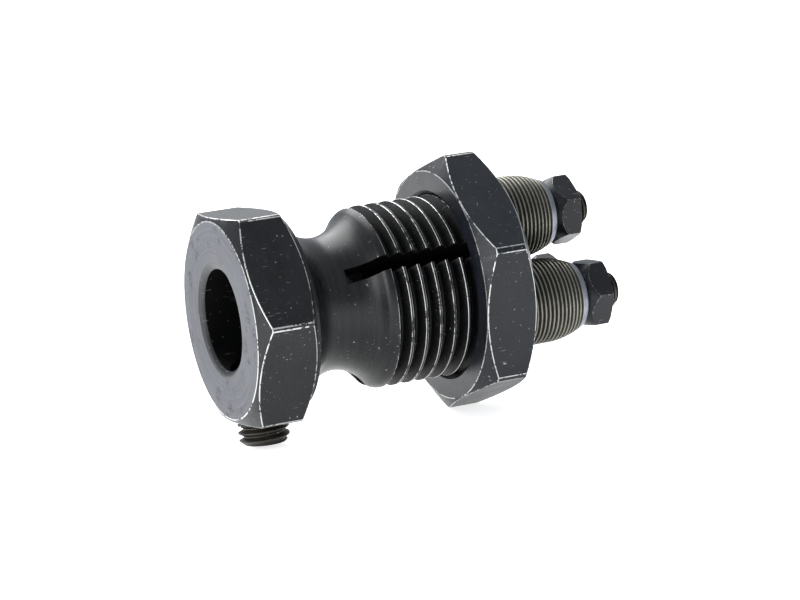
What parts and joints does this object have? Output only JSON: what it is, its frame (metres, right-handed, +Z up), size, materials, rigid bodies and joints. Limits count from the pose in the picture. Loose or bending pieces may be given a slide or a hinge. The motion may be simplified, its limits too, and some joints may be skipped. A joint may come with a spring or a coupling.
{
  "type": "three-roll thread rolling head",
  "caption": "Slotted steel head with a hexagonal bored end, a large adjusting nut on a coarse thread, and finely grooved rolls on pins that roll a thread onto a thin rod.",
  "frame": {"origin": "centre of the hexagonal head's front face, on the tool's axis", "axes": "+X along the tool's axis from the head to the rolls, +Z up with the set screw in the underside of the head"},
  "size_m": [0.0399, 0.025, 0.0258],
  "materials": {
    "black_oxide_body": "black oxide, satin, worn edges",
    "black_oxide_nut": "black oxide, satin, worn edges",
    "black_oxide_small": "black oxide, satin",
    "pin_steel": "dark hardened steel",
    "roll_steel": "bare ground steel",
    "screw_steel": "black oxide, brownish"
  },
  "bodies": {
    "body": {"tool_body": "black_oxide_body", "roll_pin_a": "pin_steel", "roll_pin_b": "pin_steel", "roll_pin_c": "pin_steel", "roll_nut_a": "black_oxide_small", "roll_nut_b": "black_oxide_small", "roll_nut_c": "black_oxide_small"},
    "nut": {"adjusting_nut": "black_oxide_nut"},
    "screw": {"set_screw": "screw_steel"},
    "roll_a": {"thread_roll_a": "roll_steel"},
    "roll_b": {"thread_roll_b": "roll_steel"},
    "roll_c": {"thread_roll_c": "roll_steel"}
  },
  "joints": [
    {"name": "nut_travel", "type": "slide", "parent": "body", "child": "nut", "axis": [1, 0, 0], "range_m": [-0.0075, 0]},
    {"name": "screw_travel", "type": "slide", "parent": "body", "child": "screw", "axis": [0, 0, 1], "range_m": [-0.0015, 0.0027]},
    {"name": "roll_spin_a", "type": "hinge", "parent": "body", "child": "roll_a", "pos_m": [0.032, 0.00023, 0.00546], "axis": [1, 0, 0], "continuous": true},
    {"name": "roll_spin_b", "type": "hinge", "parent": "body", "child": "roll_b", "pos_m": [0.032, -0.00484, -0.00253], "axis": [1, 0, 0], "continuous": true},
    {"name": "roll_spin_c", "type": "hinge", "parent": "body", "child": "roll_c", "pos_m": [0.032, 0.00461, -0.00293], "axis": [1, 0, 0], "continuous": true}
  ]
}
